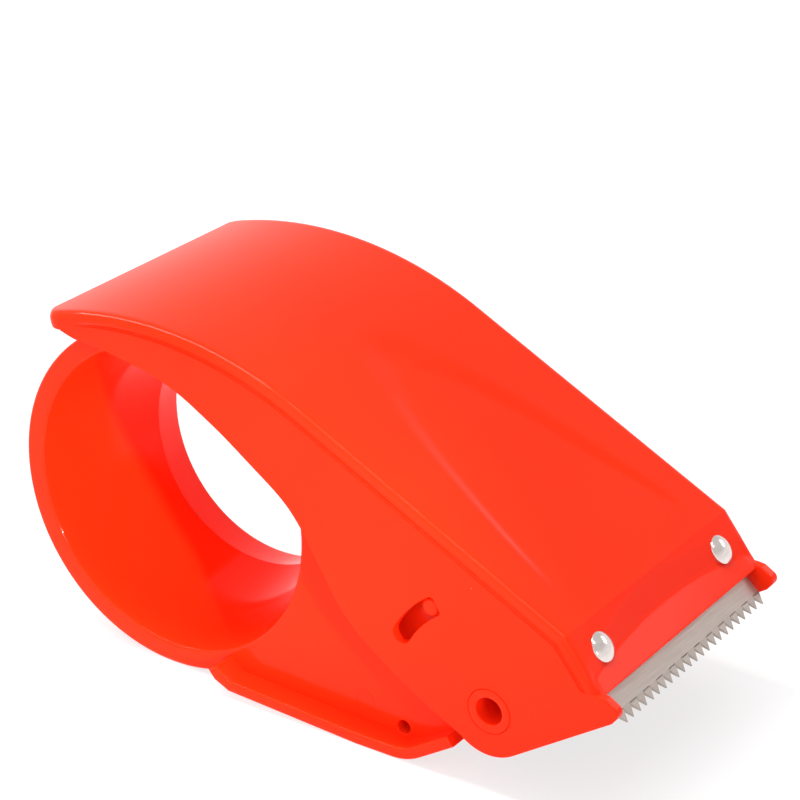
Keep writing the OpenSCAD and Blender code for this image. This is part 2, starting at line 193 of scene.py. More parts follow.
def mouldedRubber():
    look = rubberLook
    material, tree, shader, coords = newMaterial("rubber_moulded_dark")
    grain = addNode(tree, "ShaderNodeTexNoise",
                    inputs={"Vector": coords, "Scale": 1000 / look["grainMm"], "Detail": 4})
    tint = addNode(tree, "ShaderNodeMix", {"data_type": "RGBA"},
                   {0: grain.outputs["Fac"], 6: linearColour(look["rubber"]), 7: linearColour(look["worn"])})
    low, high = look["roughness"]
    rough = addNode(tree, "ShaderNodeMapRange",
                    inputs={"Value": grain.outputs["Fac"], "To Min": low, "To Max": high})
    bump = addNode(tree, "ShaderNodeBump",
                   inputs={"Strength": look["grainBump"], "Distance": look["grainDepthMm"] * mm,
                           "Height": grain.outputs["Fac"]})
    tree.links.new(tint.outputs[2], shader.inputs["Base Color"])
    tree.links.new(rough.outputs[0], shader.inputs["Roughness"])
    tree.links.new(bump.outputs[0], shader.inputs["Normal"])
    return material


orangeAbs = mouldedAbs()
stripSteel = rolledStrip()
nickel = brightNickel()
rubber = mouldedRubber()
print("materials made")


# how meshes are cleaned: merge distances in millimetres, angles in degrees, steps of a plate's rounded edge
meshCare = {"mergeMm": 0.002, "joinMm": 0.001, "flatDeg": 0.3, "sharpDeg": 30, "plateSteps": 2}


def newPiece(name, data):
    piece = bpy.data.objects.new(name, data)
    scene.collection.objects.link(piece)
    return piece


def evaluatedMesh(piece):
    bpy.context.view_layer.update()
    deps = bpy.context.evaluated_depsgraph_get()
    return bpy.data.meshes.new_from_object(piece.evaluated_get(deps))


def settle(piece):
    # the modifiers' result becomes the piece's own mesh
    mesh = evaluatedMesh(piece)
    piece.modifiers.clear()
    piece.data = mesh
    mesh.name = piece.name


def smoothOver(piece, material, angle):
    mesh = piece.data
    mesh.materials.clear()
    mesh.materials.append(material)
    mesh.polygons.foreach_set("material_index", [0] * len(mesh.polygons))
    mesh.polygons.foreach_set("use_smooth", [True] * len(mesh.polygons))
    mesh.set_sharp_from_angle(angle=math.radians(angle))
    even = piece.modifiers.new("even normals", "WEIGHTED_NORMAL")
    even.keep_sharp = True
    settle(piece)


def meshFrom(name, points, faces):
    bm = bmesh.new()
    verts = [bm.verts.new(Vector(p) * mm) for p in points]
    for face in faces:
        bm.faces.new([verts[i] for i in face])
    bmesh.ops.recalc_face_normals(bm, faces=bm.faces)
    mesh = bpy.data.meshes.new(name)
    bm.to_mesh(mesh)
    bm.free()
    return mesh


def joined(name, meshes):
    bm = bmesh.new()
    for mesh in meshes:
        bm.from_mesh(mesh)
    bmesh.ops.remove_doubles(bm, verts=bm.verts, dist=meshCare["joinMm"] * mm)
    whole = bpy.data.meshes.new(name)
    bm.to_mesh(whole)
    bm.free()
    return newPiece(name, whole)


def roundedCopy(nodeName, pieceName, width, steps):
    # a merged copy of a node's mesh, with its sharp outer edges rounded by width in millimetres
    bm = bmesh.new()
    bm.from_mesh(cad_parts[nodeName].data)
    bmesh.ops.remove_doubles(bm, verts=bm.verts, dist=meshCare["mergeMm"] * mm)
    flat = math.radians(meshCare["flatDeg"])
    bmesh.ops.dissolve_limit(bm, angle_limit=flat, verts=bm.verts, edges=bm.edges)
    bmesh.ops.triangulate(bm, faces=[f for f in bm.faces if len(f.verts) > 4], ngon_method="BEAUTY")
    weights = bm.edges.layers.float.new("bevel_weight_edge")
    for edge in bm.edges:
        outer = len(edge.link_faces) == 2
        if outer and edge.calc_face_angle_signed() > math.radians(meshCare["sharpDeg"]):
            edge[weights] = 1
    mesh = bpy.data.meshes.new(pieceName)
    bm.to_mesh(mesh)
    bm.free()
    piece = newPiece(pieceName, mesh)
    soften = piece.modifiers.new("rounded edges", "BEVEL")
    soften.width = width * mm
    soften.segments = steps
    soften.limit_method = "WEIGHT"
    soften.use_clamp_overlap = False
    settle(piece)
    return piece


def arcPoints(centre, radius, start, end, steps):
    return [centre + radius * towards(start + (end - start) * i / steps) for i in range(steps + 1)]


def circlePoints(centre, radius, count):
    return arcPoints(centre, radius, 0, 360 - 360 / count, count - 1)


def curveThrough(points, steps):
    pts = [Vector(p) for p in points]
    line = []
    for i in range(len(pts) - 1):
        a, b, c, d = pts[max(i - 1, 0)], pts[i], pts[i + 1], pts[min(i + 2, len(pts) - 1)]
        for k in range(steps):
            t = k / steps
            line.append(0.5 * (2 * b + (c - a) * t + (2 * a - 5 * b + 4 * c - d) * t * t
                               + (3 * b - a - 3 * c + d) * t * t * t))
    return line + [pts[-1]]


def smoothStep(t):
    t = min(max(t, 0), 1)
    return t * t * (3 - 2 * t)


def plateMesh(name, outline, holes, y0, y1, edge):
    # a flat plate drawn as X and Z with rounded edges, from y0 to y1
    curve = bpy.data.curves.new(name, "CURVE")
    curve.dimensions = "2D"
    curve.fill_mode = "BOTH"
    curve.extrude = ((y1 - y0) / 2 - edge) * mm
    curve.bevel_depth = edge * mm
    curve.bevel_resolution = meshCare["plateSteps"]
    curve.offset = -edge * mm
    for loop in [outline] + holes:
        spline = curve.splines.new("POLY")
        spline.points.add(len(loop) - 1)
        for place, p in zip(spline.points, loop):
            place.co = (p[0] * mm, p[1] * mm, 0, 1)
        spline.use_cyclic_u = True
    drawn = newPiece(name, curve)
    mesh = evaluatedMesh(drawn)
    bpy.data.objects.remove(drawn)
    mesh.transform(Matrix.Translation((0, (y0 + y1) / 2 * mm, 0)) @ Matrix.Rotation(math.radians(90), 4, "X"))
    return mesh


def turnedMesh(name, profile, steps, closed):
    # profile as radius and height, turned about Z; an open profile starts and ends on the axis
    points, faces, rings = [], [], []
    for radius, height in profile:
        if radius == 0:
            rings.append([len(points)])
            points.append((0, 0, height))
            continue
        rings.append(list(range(len(points), len(points) + steps)))
        for i in range(steps):
            turn = 2 * math.pi * i / steps
            points.append((radius * math.cos(turn), radius * math.sin(turn), height))
    pairs = list(zip(rings, rings[1:] + rings[:1])) if closed else list(zip(rings, rings[1:]))
    for a, b in pairs:
        for i in range(steps):
            j = (i + 1) % steps
            if len(a) == 1:
                faces.append((a[0], b[i], b[j]))
            elif len(b) == 1:
                faces.append((a[i], b[0], a[j]))
            else:
                faces.append((a[i], b[i], b[j], a[j]))
    return meshFrom(name, points, faces)


def alongY(mesh, at):
    # a mesh turned about Z, laid along Y through a point in X and Z
    mesh.transform(Matrix.Translation((at.x * mm, 0, at.y * mm)) @ Matrix.Rotation(math.radians(-90), 4, "X"))
    return mesh


def facePlace(u, n, y):
    # place on the front face: u down from the crease, n out of the face
    p = crease + u * towards(-faceDeg) + n * towards(90 - faceDeg)
    return Matrix.Translation(Vector((p.x, y, p.y)) * mm) @ Matrix.Rotation(math.radians(faceDeg), 4, "Y")


def repeatTree(material):
    # copies of the piece's own mesh: Count of them, Step apart, each turned by Turn more, odd ones by Flip
    tree = bpy.data.node_groups.new("repeat " + material.name, "GeometryNodeTree")
    face = tree.interface
    face.new_socket("Geometry", in_out="INPUT", socket_type="NodeSocketGeometry")
    face.new_socket("Count", in_out="INPUT", socket_type="NodeSocketInt")
    for name in ("Step", "Turn", "Flip"):
        face.new_socket(name, in_out="INPUT", socket_type="NodeSocketVector")
    face.new_socket("Geometry", in_out="OUTPUT", socket_type="NodeSocketGeometry")
    given = addNode(tree, "NodeGroupInput").outputs
    row = addNode(tree, "GeometryNodeMeshLine", {"mode": "OFFSET"},
                  {"Count": given["Count"], "Offset": given["Step"]})
    index = addNode(tree, "GeometryNodeInputIndex").outputs[0]
    odd = addNode(tree, "ShaderNodeMath", {"operation": "MODULO"}, {0: index, 1: 2.0})
    turned = addNode(tree, "ShaderNodeVectorMath", {"operation": "SCALE"}, {0: given["Turn"], "Scale": index})
    flipped = addNode(tree, "ShaderNodeVectorMath", {"operation": "SCALE"},
                      {0: given["Flip"], "Scale": odd.outputs[0]})
    total = addNode(tree, "ShaderNodeVectorMath", {"operation": "ADD"},
                    {0: turned.outputs[0], 1: flipped.outputs[0]})
    copies = addNode(tree, "GeometryNodeInstanceOnPoints",
                     inputs={"Points": row.outputs[0], "Instance": given["Geometry"],
                             "Rotation": total.outputs[0]})
    real = addNode(tree, "GeometryNodeRealizeInstances", inputs={0: copies.outputs[0]})
    painted = addNode(tree, "GeometryNodeSetMaterial",
                      inputs={"Geometry": real.outputs[0], "Material": material})
    addNode(tree, "NodeGroupOutput", inputs={0: painted.outputs[0]})
    return tree


def repeated(piece, tree, values):
    modifier = piece.modifiers.new("repeat", "NODES")
    modifier.node_group = tree
    for item in tree.interface.items_tree:
        if item.in_out == "INPUT" and item.name in values:
            modifier[item.identifier] = values[item.name]
    settle(piece)


# handle cover: a bent sheet with rounded long edges and a tongue-shaped recess, and two side walls
coverShape = {
    "halfWidth": 34, "wall": 2.4, "smallEdge": 0.35, "smoothDeg": 24, "endSteps": 4, "endDeg": 65,
    # sheet: rear corners, grid steps and the crease's half width
    "rearX": -28, "rearNear": 3.5, "rearFar": 1.5, "turnDeg": 15, "archDeg": 0.55, "step": 0.8,
    "bend": 1.0, "bendRows": 4, "faceGap": 0.4, "faceRows": 24,
    # long edges: rounding, height of the side under it, lower tip at the rear, and shadow groove
    "longEdge": 2.0, "skirt": 3.9, "edgeShare": 0.8, "sheetShare": 0.9, "tip": 1.4, "tipRun": 5,
    "groove": 0.45, "grooveAt": 0.4, "grooveFade": 12,
    # tongue-shaped recess on the ramp: its outline, its floor and how it fades
    "recessDepth": 0.75, "recessStart": 30.5, "recessEnd": 100.5, "recessHalf": 26, "recessPower": 0.45,
    "floorStart": 43, "floorHalf": 24.5, "floorPower": 0.55,
    "leastSlope": 1.2, "recessRise": 9, "recessFade": 22,
    # scoop across the front face and the lip below it
    "hollowRadius": 450, "hollowDeg": 10, "hollowStart": 0.4, "hollowFade": 3,
    "lipDeg": 9, "lipEnd": 13.8, "lipOver": 0.15,
    # side walls: how far hidden edges reach into their neighbour, ears, chin and nose
    "hiddenLap": 0.6, "shortOfLip": 2, "sideIn": 0.02, "earReach": 4.4, "earRadius": 1.6, "earDrop": 1.2,
    "browDrop": 0.15, "earFromDeg": 70, "earToDeg": -45, "chinDeg": 34, "chinBack": 1.3,
    "noseRadius": 10.2, "noseDeg": 76,
    # arc slot, holes and the far wall's rim
    "slotRadius": 23.75, "slotWidth": 4.2, "slotFrom": 122.5, "slotTo": 152.05, "bluntDeg": 1.4,
    "slotCorner": 0.6, "slotEndDeg": 15,
    "axleHole": 4.95, "washerHole": 7.3, "washerSeat": 0.9, "seatIn": 0.05,
    "rimDepth": 5, "rimFromDeg": 60.5, "rimToDeg": 102, "rimEndDeg": 105}
nearEdge = [(71, -25), (60.5, -18.6), (50.5, -10.8), (43.5, -0.6), (38.8, 7), (34.2, 12.2), (26.5, 17.8),
            (16.5, 24.5), (4.5, 30.7), (-11.5, 34.2), (-18.8, 34.8), (-23.2, 36)]
farEdge = [(43, 25.2), (51.5, 17), (60, 3.5), (68, -10.5), (74, -22)]


def recess(x, y):
    s = coverShape
    if x <= s["recessStart"]:
        return 0
    run = s["recessEnd"] - s["recessStart"]
    outer = s["recessHalf"] * (min(x - s["recessStart"], run) / run) ** s["recessPower"]
    floorRun = s["recessEnd"] - s["floorStart"]
    inner = s["floorHalf"] * (min(max(x - s["floorStart"], 0), floorRun) / floorRun) ** s["floorPower"]
    slope = smoothStep((outer - abs(y)) / max(outer - inner, s["leastSlope"]))
    rise = smoothStep((x - s["recessStart"]) / s["recessRise"])
    fade = smoothStep((s["recessEnd"] - x) / s["recessFade"])
    return s["recessDepth"] * slope * (rise * fade)


def hollow(u, y):
    s = coverShape
    scoop = -math.tan(math.radians(s["hollowDeg"])) * (u - s["hollowStart"]) + y * y / (2 * s["hollowRadius"])
    lipPlane = -math.tan(math.radians(s["lipDeg"])) * (s["lipEnd"] + s["lipOver"] - u)
    return -min(0, max(scoop, lipPlane)) * smoothStep((s["halfWidth"] - abs(y)) / s["hollowFade"])


def topRows():
    # each row: point, outward direction, distance down the front face, narrowing at the near and far side
    s = coverShape
    rows = []
    cornerX = s["rearX"] + s["rearNear"]
    for turn in range(90, 0, -s["turnDeg"]):
        x = s["rearX"] + s["rearNear"] * (1 - math.sin(math.radians(turn)))
        deg = math.degrees(math.acos((x - topCentre.x) / topRadius))
        near = s["rearNear"] - math.sqrt(max(s["rearNear"] ** 2 - (cornerX - x) ** 2, 0))
        past = max(s["rearX"] + s["rearFar"] - x, 0)
        far = s["rearFar"] - math.sqrt(max(s["rearFar"] ** 2 - past ** 2, 0))
        rows.append((topCentre + topRadius * towards(deg), towards(deg), 0, near, far))
    archFrom = math.degrees(math.acos((cornerX - topCentre.x) / topRadius))
    archTo = 90 - rampDeg
    count = int((archFrom - archTo) / s["archDeg"])
    for i in range(count):
        deg = archFrom + (archTo - archFrom) * i / count
        rows.append((topCentre + topRadius * towards(deg), towards(deg), 0, 0, 0))
    bend, half = s["bend"], s["bendRows"]
    rampDown, faceDown = towards(-rampDeg), towards(-faceDeg)
    rampEnd = crease - bend * rampDown
    count = int((rampEnd - rampStart).length / s["step"])
    rows += [(rampStart.lerp(rampEnd, i / count), towards(archTo), 0, 0, 0) for i in range(count)]
    # the crease: rows close to the sharp line, whose directions turn from the ramp to the face
    for i in range(2 * half + 1):
        u = bend * (i - half) / half
        out = towards(archTo - (faceDeg - rampDeg) * i / (2 * half))
        rows.append((crease + u * (faceDown if u > 0 else rampDown), out, max(u, 0), 0, 0))
    start = bend + s["faceGap"]
    for i in range(s["faceRows"] + 1):
        u = start + (s["lipEnd"] - start) * i / s["faceRows"]
        rows.append((crease + u * faceDown, towards(90 - faceDeg), u, 0, 0))
    return rows


def skinSection(row):
    # closed loop of one row: near side, near edge, across the top, far edge, far side, back under the sheet
    s = coverShape
    point, out, u, nearIn, farIn = row
    half = s["halfWidth"]
    pastTip = max(s["rearX"] + s["tipRun"] - point.x, 0) / s["tipRun"]
    skirt = s["tip"] + (s["skirt"] - s["tip"]) * math.sqrt(max(1 - pastTip ** 2, 0))
    fillet = min(s["longEdge"], skirt * s["edgeShare"])
    under = min(sheetThick, skirt * s["sheetShare"])
    # shadow groove under the rounded edge
    groove = s["groove"] * smoothStep((point.x - s["rearX"] - s["rearNear"]) / s["grooveFade"])
    side = [(half, skirt), (half - groove, fillet + (skirt - fillet) * s["grooveAt"])]
    for deg in range(0, 91, s["turnDeg"]):
        turn = math.radians(deg)
        side.append((half - fillet + fillet * math.cos(turn), fillet - fillet * math.sin(turn)))
    flat = half - fillet
    count = int(2 * half / s["step"])
    loop = [(-y, d) for y, d in side] + [(-flat + 2 * flat * i / count, 0) for i in range(1, count)]
    loop += [(y, d) for y, d in reversed(side)]
    inner = half - s["wall"]
    loop += [(inner, skirt), (inner, under), (0, under), (-inner, under), (-inner, skirt)]
    placed = []
    for y, d in loop:
        if u and d < fillet:
            d += hollow(u, y)
        elif d == 0:
            d = recess(point.x, y)
        p = point - d * out
        share = abs(y) / half
        y += nearIn * share if y < 0 else -farIn * share
        placed.append((p.x, y, p.y))
    return placed


def makeSkin():
    s = coverShape
    sections = [skinSection(row) for row in topRows()]
    n = len(sections[0])
    points = [p for section in sections for p in section]
    faces = [tuple(range(n)), tuple(range(len(points) - n, len(points)))]
    for k in range(len(sections) - 1):
        a, b = k * n, (k + 1) * n
        faces += [(a + i, a + (i + 1) % n, b + (i + 1) % n, b + i) for i in range(n)]
    skin = newPiece("cover_skin", meshFrom("cover_skin", points, faces))
    soften = skin.modifiers.new("rounded ends", "BEVEL")
    soften.width = s["smallEdge"] * mm
    soften.segments = s["endSteps"]
    soften.angle_limit = math.radians(s["endDeg"])
    settle(skin)
    mesh = skin.data
    bpy.data.objects.remove(skin)
    return mesh


def wallFront():
    # from the lip round the ear, along the chin and round the nose
    s = coverShape
    lip = crease + faceLength * towards(-faceDeg)
    # a third of the way out, where the ear's upper side is still full
    brow = lip + Vector((s["earReach"] / 3, -s["browDrop"]))
    tip = lip + Vector((s["earReach"] - s["earRadius"], -s["earDrop"] - s["earRadius"]))
    chinTurn = s["chinDeg"] - 90
    chinStart = pivot + s["noseRadius"] * towards(chinTurn)
    chinRun = lip.x + s["earReach"] - s["chinBack"] - chinStart.x
    chinEnd = chinStart + towards(s["chinDeg"]) * chinRun / math.cos(math.radians(s["chinDeg"]))
    ear = arcPoints(tip, s["earRadius"], s["earFromDeg"], s["earToDeg"], steps=9)
    nose = arcPoints(pivot, s["noseRadius"], chinTurn, chinTurn - s["noseDeg"], steps=20)
    return [lip, brow] + ear + [chinEnd] + nose


def slotOutline():
    # blunt upper end with small corners, round lower end
    s = coverShape
    radius, half = s["slotRadius"], s["slotWidth"] / 2
    blunt = s["slotFrom"] + s["bluntDeg"]
    last, turn = s["slotTo"], s["slotEndDeg"]
    line = arcPoints(pivot, radius + half, blunt, last, steps=16)
    line += arcPoints(pivot + radius * towards(last), half, last + turn, last + (180 - turn), steps=10)
    line += arcPoints(pivot, radius - half, last, blunt, steps=16)
    corner = half - s["slotCorner"]
    return line + [pivot + (radius + side * corner) * towards(s["slotFrom"]) for side in (-1, 1)]


def pivotHole(radius):
    return arcPoints(pivot, radius, start=0, end=350, steps=47)


def makeCover():
    s = coverShape
    depth = sheetThick + s["hiddenLap"]
    fullWidth = s["rearX"] + s["rearNear"]
    under = [point - depth * out for point, out, u, near, far in topRows()
             if point.x > fullWidth and u < faceLength - s["shortOfLip"]]
    front = under + wallFront()
    inner, outer = s["halfWidth"] - s["wall"], s["halfWidth"] - s["sideIn"]
    edge, axle = s["smallEdge"], pivotHole(s["axleHole"])
    nearLine = front + curveThrough(nearEdge, steps=6)
    near = plateMesh("wall", nearLine, [slotOutline(), axle], -outer, -inner, edge)
    rim = arcPoints(topCentre, topRadius - s["rimDepth"], s["rimFromDeg"], s["rimToDeg"], steps=40)
    rim.append(topCentre + (topRadius - s["skirt"]) * towards(s["rimEndDeg"]))
    farLine = front + curveThrough(farEdge, steps=6)[::-1] + rim
    far = plateMesh("wall", farLine, [pivotHole(s["washerHole"])], inner, outer, edge)
    # floor of the washer's recess, which bears on the axle
    floorEdge = pivotHole(s["washerHole"] + s["hiddenLap"])
    floor = plateMesh("wall", floorEdge, [axle], inner + s["seatIn"], s["halfWidth"] - s["washerSeat"], edge)
    shell = joined("cover_shell", [makeSkin(), near, far, floor])
    smoothOver(shell, orangeAbs, s["smoothDeg"])
    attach(shell, "cover")
    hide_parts("handle_cover")


# ring frame: flat plate with a soft rim, finger funnel, drum, foot ledge, hub, cored boss and stop peg
frameShape = {
    "front": -28.5, "plate": 2.6, "plateEdge": 0.8, "neck": 66, "neckIn": 0.5, "neckDeg": (40, -120),
    "smoothDeg": 38,
    # ring: radii of rim, mouth, waist and drum, and where the funnel and the drum meet behind the plate
    "rimRadius": 39.55, "mouth": 34.75, "waist": 28.0, "waistY": 3.1, "wall": 1.9,
    "drum": 37.5, "drumEnd": 10.2, "drumLap": 0.8, "joinDepth": 3,
    "mouthOver": 0.05, "mouthIn": 0.7, "mouthRun": 1.6, "mouthLap": 0.02,
    # foot ledge: flat foot, rounded corner, front run, and its rear end above the foot
    "footZ": -39.55, "footFrom": 52, "footTo": 61, "cornerRadius": 13, "frontDeg": 33, "frontRun": 9.6,
    "ledge": 2.6, "ledgeEdge": 0.55, "ledgeBack": -26.3, "heel": (19.2, 2.95), "heelDeg": -63.6,
    "rearUnder": ((13.6, 5.35), (15.3, 3.35), (19, 1.65)), "rearOver": ((19.2, 4.25), (16, 6.95)),
    # hub round the axle, cored boss, moulding mark and stop peg
    "hubRadius": 8.1, "hubBore": 4.92, "hubFront": -31.3, "hubBack": -24, "boreRoom": 0.4, "softEdge": 0.3,
    "coredAt": (60.7, -35.3), "cored": 1.6, "coredHole": 2, "coredEdge": 0.15, "coredDepth": 9, "proud": 0.02,
    "boss": 4.2, "bossFace": 3.1, "bossFront": -27.3, "bossFloor": 2,
    "markAt": (51, -32), "mark": 2.4, "markWidth": 0.25, "markTop": (0.2, 0.05),
    "markHeight": 0.04, "markIn": 0.1,
    "pegRadius": 1.9, "pegDeg": 127.8, "pegEnd": -33.2, "pegRoot": -27.2}


def ledgeLine(inset):
    # run of the foot ledge from its rear end to its front end, moved in by inset
    s = frameShape
    corner = Vector((s["footTo"], s["footZ"] + s["cornerRadius"]))
    front = corner + s["cornerRadius"] * towards(s["frontDeg"] - 90)
    end = front + s["frontRun"] * towards(s["frontDeg"])
    return ([Vector((s["footFrom"], s["footZ"] + inset))]
            + arcPoints(corner, s["cornerRadius"] - inset, -90, s["frontDeg"] - 90, steps=12)
            + [end + inset * towards(s["frontDeg"] + 90)])


def aboveFoot(point):
    x, rise = point
    return Vector((x, frameShape["footZ"] + rise))


def plateOutline():
    s = frameShape
    rampAway = s["rimRadius"] * towards(90 - rampDeg) + s["neck"] * towards(-rampDeg)
    neckFrom, neckTo = s["neckDeg"]
    line = [rampAway] + arcPoints(pivot, s["hubRadius"] - s["neckIn"], neckFrom, neckTo, steps=16)
    line += ledgeLine(s["ledge"] / 2)[::-1] + [aboveFoot(s["heel"])]
    return line + arcPoints(Vector((0, 0)), s["rimRadius"], s["heelDeg"], 90 - rampDeg - 360, steps=150)


def ledgeOutline():
    s = frameShape
    rear = [aboveFoot(p) for p in s["rearUnder"]]
    back = [aboveFoot(p) for p in s["rearOver"]]
    return rear + ledgeLine(0) + ledgeLine(s["ledge"])[::-1] + back


def ringProfile():
    # funnel from the mouth to the waist, back outside it, and out along the drum
    s = frameShape
    front = s["front"]
    inside = front + s["plate"]
    slope = (s["mouth"] - s["waist"]) / (s["waistY"] - front)
    gap = inside + s["joinDepth"]
    gapRadius = s["mouth"] - slope * (gap - front) + s["wall"]
    funnelTop = s["mouth"] - slope * s["mouthRun"] - s["mouthLap"]
    drumIn = s["drum"] - s["wall"]
    return [(s["mouth"] + s["mouthOver"], front + s["mouthIn"]), (funnelTop, front + s["mouthRun"]),
            (s["waist"], s["waistY"]), (s["waist"] + s["wall"], s["waistY"]), (gapRadius, gap), (drumIn, gap),
            (drumIn, s["drumEnd"]), (s["drum"], s["drumEnd"]), (s["drum"], inside - s["drumLap"])]


def hubProfile():
    s = frameShape
    return [(s["hubBore"], s["hubFront"]), (s["hubRadius"] - s["softEdge"], s["hubFront"]),
            (s["hubRadius"], s["hubFront"] + s["softEdge"]), (s["hubRadius"], s["hubBack"]),
            (s["hubBore"], s["hubBack"])]


def bossProfile():
    # blind hole in a boss behind the plate
    s = frameShape
    face = s["front"] - s["proud"]
    floorY = s["front"] + s["coredDepth"]
    end = floorY + s["bossFloor"]
    return [(0, floorY), (s["cored"], floorY), (s["cored"], face + s["coredEdge"]),
            (s["cored"] + s["coredEdge"], face), (s["bossFace"], face), (s["bossFace"], s["bossFront"]),
            (s["boss"], s["bossFront"]), (s["boss"], end), (0, end)]


def markProfile():
    # thin raised circle that a tool's pin leaves
    s = frameShape
    root = s["front"] + s["markIn"]
    top = s["front"] - s["proud"] - s["markHeight"]
    inner, outer = s["markTop"]
    return [(s["mark"] - s["markWidth"], root), (s["mark"] - inner, top), (s["mark"] - outer, top),
            (s["mark"], root)]


def pegProfile():
    s = frameShape
    return [(0, s["pegEnd"]), (s["pegRadius"] - s["softEdge"], s["pegEnd"]),
            (s["pegRadius"], s["pegEnd"] + s["softEdge"]), (s["pegRadius"], s["pegRoot"]), (0, s["pegRoot"])]


def makeFrame():
    s = frameShape
    middle, cored, mark = Vector((0, 0)), Vector(s["coredAt"]), Vector(s["markAt"])
    peg = pivot + coverShape["slotRadius"] * towards(s["pegDeg"])
    holes = [circlePoints(middle, s["mouth"], count=180),
             circlePoints(pivot, s["hubBore"] + s["boreRoom"], count=36),
             circlePoints(cored, s["coredHole"], count=24)]
    inside, side = s["front"] + s["plate"], -coverShape["halfWidth"]
    meshes = [plateMesh("plate", plateOutline(), holes, s["front"], inside, s["plateEdge"]),
              plateMesh("ledge", ledgeOutline(), [], side, s["ledgeBack"], s["ledgeEdge"]),
              alongY(turnedMesh("ring", ringProfile(), steps=180, closed=True), middle),
              alongY(turnedMesh("hub", hubProfile(), steps=72, closed=True), pivot),
              alongY(turnedMesh("boss", bossProfile(), steps=48, closed=False), cored),
              alongY(turnedMesh("mark", markProfile(), steps=48, closed=True), mark),
              alongY(turnedMesh("peg", pegProfile(), steps=40, closed=False), peg)]
    piece = joined("ring_and_plate", meshes)
    smoothOver(piece, orangeAbs, s["smoothDeg"])
    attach(piece, "frame")
    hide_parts("ring_frame")


# small turned and moulded pieces keep their CAD shape: name, body, material, width of their broken edges
smallPieces = {
    "ring_end_cap": ("ring_rear_cap", "frame", orangeAbs, 0.4),
    "pivot_tube": ("pivot_axle", "frame", orangeAbs, 0.3),
    "pivot_washer": ("axle_washer", "frame", stripSteel, 0.12),
    "pivot_screw": ("axle_screw", "frame", nickel, 0.12),
    "roller_hub_near": ("roller_plug_near", "roller", orangeAbs, 0.3),
    "roller_hub_far": ("roller_plug_far", "roller", orangeAbs, 0.3),
    "rivet_washer_near": ("rivet_disc_near", "cover", stripSteel, 0.1),
    "rivet_washer_far": ("rivet_disc_far", "cover", stripSteel, 0.1),
}
smallFinish = {"edgeSteps": 3, "smoothDeg": 38}


def makeSmallPieces():
    for nodeName, (pieceName, body, material, width) in smallPieces.items():
        piece = roundedCopy(nodeName, pieceName, width, smallFinish["edgeSteps"])
        smoothOver(piece, material, smallFinish["smoothDeg"])
        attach(piece, body)
        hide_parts(nodeName)


# blade: bent strip under the front face, and a row of ground teeth, every second one set
bladeShape = {"width": 60, "thick": 0.8, "backU": 2.4, "freeDeg": 41, "reach": 7.8, "bendHalf": 0.5,
              "teeth": 23, "toothDepth": 2.4, "toothRoot": 0.3, "tipThick": 0.3, "tipDrop": 0.09,
              "ridge": 0.35, "setDeg": 4, "stripSmoothDeg": 25, "toothSmoothDeg": 15}


def stripMesh(turn, free):
    # side line of the strip's upper face, X down the face and Z out of it, from its back to the teeth's roots
    s = bladeShape
    half, thick, bend = s["width"] / 2, s["thick"], s["bendHalf"]
    line = [(s["backU"] - faceLength, 0), (-bend, 0)]
    line += [(bend * math.cos(turn * part), bend * math.sin(turn * part)) for part in (0.75, 1)]
    line.append((free * math.cos(turn), free * math.sin(turn)))
    points, faces = [], []
    for k, (x, z) in enumerate(line):
        lean = 0 if k < 2 else turn
        lowX, lowZ = x + thick * math.sin(lean), z - thick * math.cos(lean)
        points += [(x, -half, z), (x, half, z), (lowX, half, lowZ), (lowX, -half, lowZ)]
    for k in range(len(line) - 1):
        a, b = 4 * k, 4 * k + 4
        for i in range(4):
            j = (i + 1) % 4
            faces.append((a + i, b + i, b + j, a + j))
    last = 4 * len(line) - 4
    faces += [(0, 1, 2, 3), (last, last + 1, last + 2, last + 3)]
    return meshFrom("blade_strip", points, faces)


def toothMesh(pitch):
    # one tooth: full thickness at its root, ground thin at its flanks and tip
    s = bladeShape
    w, d, root, thick = pitch / 2, s["toothDepth"], s["toothRoot"], s["thick"]
    tipTop, tipLow = -s["tipDrop"], -s["tipDrop"] - s["tipThick"]
    points = [(-root, -w, 0), (-root, w, 0), (0, w, 0), (0, -w, 0), (d, 0, tipTop), (d * s["ridge"], 0, 0),
              (-root, -w, -thick), (-root, w, -thick), (0, w, -thick), (0, -w, -thick), (d, 0, tipLow)]
    faces = [(0, 3, 5, 2, 1), (3, 4, 5), (5, 4, 2), (6, 7, 8, 10, 9), (3, 9, 10, 4), (4, 10, 8, 2),
             (0, 1, 7, 6), (0, 6, 9, 3), (1, 2, 8, 7)]
    return meshFrom("blade_teeth", points, faces)


def makeBlade():
    s = bladeShape
    turn = math.radians(faceDeg - s["freeDeg"])
    free = s["reach"] - s["toothDepth"]
    underLip = facePlace(faceLength, -sheetThick, 0)
    strip = newPiece("blade_strip", stripMesh(turn, free))
    strip.data.transform(underLip)
    smoothOver(strip, stripSteel, s["stripSmoothDeg"])
    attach(strip, "cover")
    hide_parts("blade")

    pitch = s["width"] / s["teeth"]
    teeth = newPiece("blade_teeth", toothMesh(pitch))
    row = {"Count": s["teeth"], "Step": (0, pitch * mm, 0), "Turn": (0, 0, 0),
           "Flip": (0, math.radians(s["setDeg"]), 0)}
    repeated(teeth, repeatTree(stripSteel), row)
    firstTooth = Matrix.Translation(Vector((free, -s["width"] / 2 + pitch / 2, 0)) * mm)
    teeth.data.transform(underLip @ Matrix.Rotation(-turn, 4, "Y") @ firstTooth)
    smoothOver(teeth, stripSteel, s["toothSmoothDeg"])
    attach(teeth, "cover")


